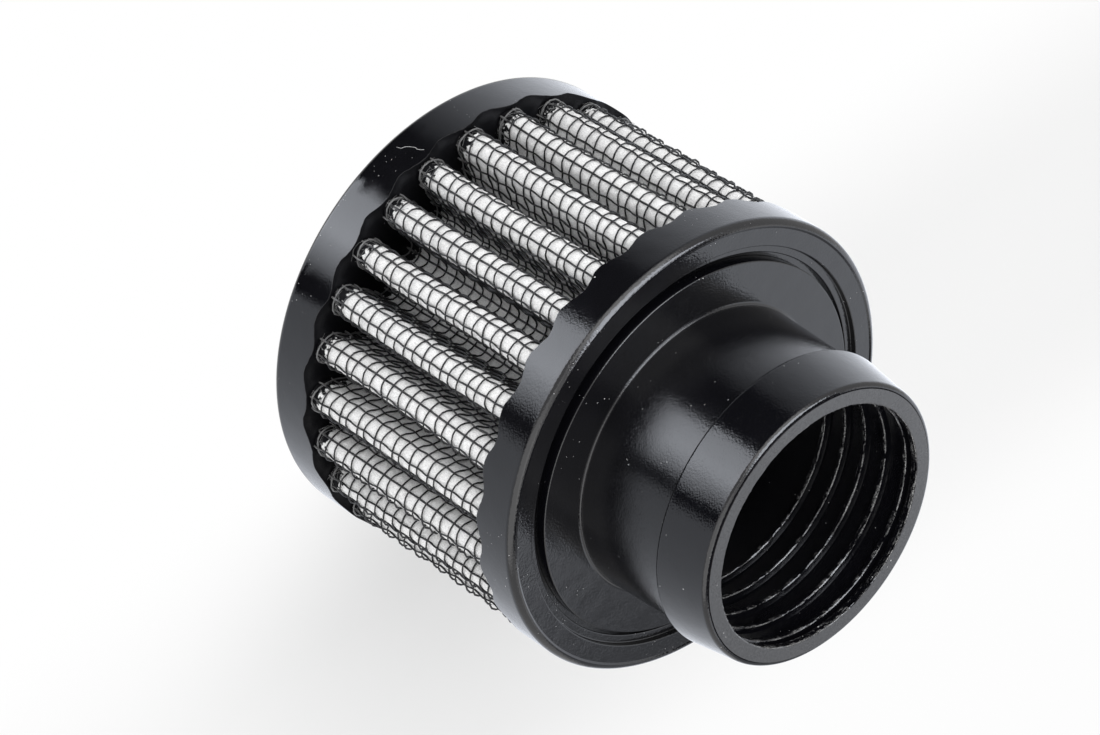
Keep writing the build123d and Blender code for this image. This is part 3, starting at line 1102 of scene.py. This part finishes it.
def floor_cards(camera_azimuth):
    """The glowing cards on the floor, which paint the skirts' reflections. Their edges are torn near the
    filter.
    """
    rng = np.random.default_rng(2)
    lift = Vector((0, 0, 0.05 * MM))
    reach = np.append(np.arange(0, 14, 0.22), 600) * MM
    torn = {card[0]: rng.normal(0, 1.6, len(reach)) for card in FLOOR_CARDS}
    torn.update({first: 0 * reach for first in (-90, -60, 270)})
    for place, (first, last, glow_first, glow_last) in enumerate(FLOOR_CARDS):
        spokes = []
        for turn in np.linspace(first, last, 7):
            away = around(camera_azimuth + min(2 * turn, 180), 0, 1)
            jogs = torn.get(turn, 0 * reach)
            starts = [around(camera_azimuth + turn + jog, 0, REAR_HIGH.x + 0.3 * MM) for jog in jogs]
            spokes.append([tuple(start + away * far + lift) for start, far in zip(starts, reach)])
        painted_reflection_card(f"reflection_glow_low_{place}", spokes, np.linspace(glow_first, glow_last, 7))


def back_card(camera_azimuth):
    """The glowing card that paints the flat faces' reflections, upright beyond the filter."""
    ahead = around(camera_azimuth + 180, 0, BACK_DISTANCE)
    right = around(camera_azimuth + 90, 0, 1)
    spokes, glow = [], []
    for place, low, high in BACK_CARD:
        foot = ahead + right * place * MM
        spokes.append([tuple(foot + Vector((0, 0, z * MM))) for z, _share in BACK_RISE])
        glow.append([low + (high - low) * share for _z, share in BACK_RISE])
    painted_reflection_card("reflection_glow_back", spokes, glow)


def high_cards(camera_azimuth):
    """A glowing card and a nearly black one overhead, which paint a highlight and a dark line on the rounded
    edges.
    """
    for name, (places, elevations) in HIGH_CARDS.items():
        spokes = []
        for turn, _glow in places:
            side = camera_azimuth + turn
            spokes.append([tuple(around(side, rise, HIGH_DISTANCE)) for rise in elevations])
        painted_reflection_card(name, spokes, [glow for _turn, glow in places])


class BREATHER_OT_stage(bpy.types.Operator):
    """Sets the floor, the lamps, the glowing cards that paint reflections, and the camera."""

    bl_idname = "breather.stage"
    bl_label = "Stage"

    def execute(self, context):
        scene = context.scene
        setting = scene.breather_stage
        azimuth = setting.azimuth
        side = 1.5
        corners = [(-side, -side, 0), (side, -side, 0), (side, side, 0), (-side, side, 0)]
        painted_shadow_side = around(azimuth + setting.painted_shadow_turn, 0, 1)
        finish = floor_material("floor_white", setting.floor, painted_shadow_side, setting.painted_shadow_glow)
        stage_piece("floor", corners, [(0, 1, 2, 3)], finish)

        floor_cards(azimuth)
        back_card(azimuth)
        high_cards(azimuth)
        for name, (turn, elevation, width, power) in SOFTBOXES.items():
            softbox(name, azimuth + turn, elevation, width, power)

        bench = FinishBench("studio", bpy.data.worlds)
        level = bench.node("ShaderNodeMapRange", None, bench.shown(), To_Min=setting.sky)
        white = bench.node("ShaderNodeBackground", None, (1, 1, 1, 1), level)
        bench.node("ShaderNodeOutputWorld", None, white)
        scene.world = bench.made
        scene.view_settings.view_transform = "Standard"

        data = bpy.data.cameras.new("camera")
        data.lens = setting.lens
        data.sensor_width = 36
        data.clip_start, data.clip_end = 0.01, 10
        camera = bpy.data.objects.new("camera", data)
        turn = Matrix.Rotation(radians(azimuth - 270), 4, "Z")
        aim = turn @ Vector((setting.aim_aside, setting.aim_along, setting.aim_up))
        look = Matrix.Rotation(radians(90 - setting.pitch), 4, "X")
        roll = Matrix.Rotation(radians(setting.roll), 4, "Z")
        back = Matrix.Translation((0, 0, setting.distance))
        camera.matrix_world = Matrix.Translation(aim) @ turn @ look @ roll @ back
        scene.collection.objects.link(camera)
        scene.camera = camera
        return {"FINISHED"}


class BREATHER_PT_filter(bpy.types.Panel):
    """Lists the filter's pieces and their sizes."""

    bl_idname = "BREATHER_PT_filter"
    bl_label = "Breather Filter"
    bl_space_type = "VIEW_3D"
    bl_region_type = "UI"
    bl_category = "Breather Filter"

    def draw(self, context):
        for operator in OPERATORS:
            self.layout.operator(operator.bl_idname)
        for name in GROUPS:
            group = getattr(context.scene, name)
            box = self.layout.box()
            for key in group.__annotations__:
                box.prop(group, key)


GROUPS = {
    "breather_pack": BREATHER_PG_pack,
    "breather_weave": BREATHER_PG_weave,
    "breather_caps": BREATHER_PG_caps,
    "breather_neck": BREATHER_PG_neck,
    "breather_finish": BREATHER_PG_finish,
    "breather_stage": BREATHER_PG_stage,
}
OPERATORS = (
    BREATHER_OT_stage,
    BREATHER_OT_fleece,
    BREATHER_OT_outer_wires,
    BREATHER_OT_frays,
    BREATHER_OT_hair,
    BREATHER_OT_inner_wires,
    BREATHER_OT_rear_cap,
    BREATHER_OT_front_cap,
    BREATHER_OT_neck,
)


def register():
    """Adds the sizes to the scene, and the operators and the panel."""
    for name, group in GROUPS.items():
        bpy.utils.register_class(group)
        setattr(bpy.types.Scene, name, bpy.props.PointerProperty(type=group))
    for operator in OPERATORS:
        bpy.utils.register_class(operator)
    bpy.utils.register_class(BREATHER_PT_filter)


def unregister():
    """Takes out what register adds."""
    bpy.utils.unregister_class(BREATHER_PT_filter)
    for operator in reversed(OPERATORS):
        bpy.utils.unregister_class(operator)
    for name, group in reversed(GROUPS.items()):
        delattr(bpy.types.Scene, name)
        bpy.utils.unregister_class(group)


def main():
    """Builds the whole filter on its stage."""
    register()
    bpy.ops.breather.stage()
    bpy.ops.breather.fleece()
    bpy.ops.breather.outer_wires()
    bpy.ops.breather.frays()
    bpy.ops.breather.hair()
    bpy.ops.breather.inner_wires()
    bpy.ops.breather.rear_cap()
    bpy.ops.breather.front_cap()
    bpy.ops.breather.neck()


if __name__ == "__main__":
    main()
